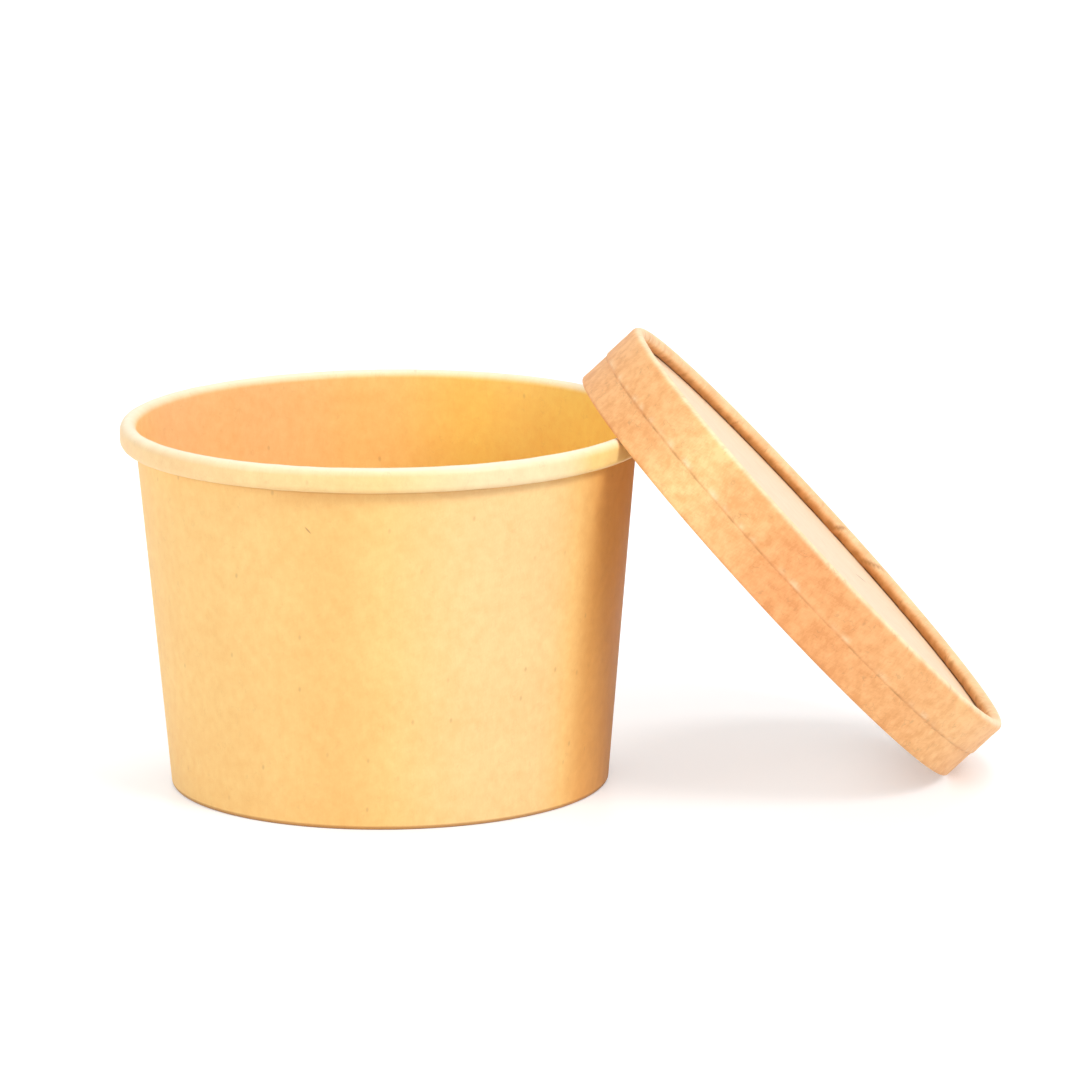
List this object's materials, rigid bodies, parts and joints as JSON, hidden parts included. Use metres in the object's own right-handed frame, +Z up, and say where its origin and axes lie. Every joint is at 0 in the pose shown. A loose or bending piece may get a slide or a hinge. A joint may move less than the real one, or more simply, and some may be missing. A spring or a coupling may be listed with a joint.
{
  "type": "paper soup cup with lid",
  "caption": "Round tapered paper soup cup with a rolled rim and a recessed foot, its paper lid off and leaning on the rim.",
  "frame": {"origin": "centre of the cup's foot, on the surface that it stands on", "axes": "+Z up along the cup's axis, +X towards the leaning lid"},
  "size_m": [0.1626, 0.1002, 0.0828],
  "materials": {
    "kraft_wall": "matte",
    "kraft_base": "satin",
    "kraft_ring": "matte",
    "cream_panel": "matte"
  },
  "bodies": {
    "root": {"cup_wall": "kraft_wall", "cup_base": "kraft_base", "lid_ring": "kraft_ring", "lid_panel": "cream_panel"}
  },
  "joints": []
}
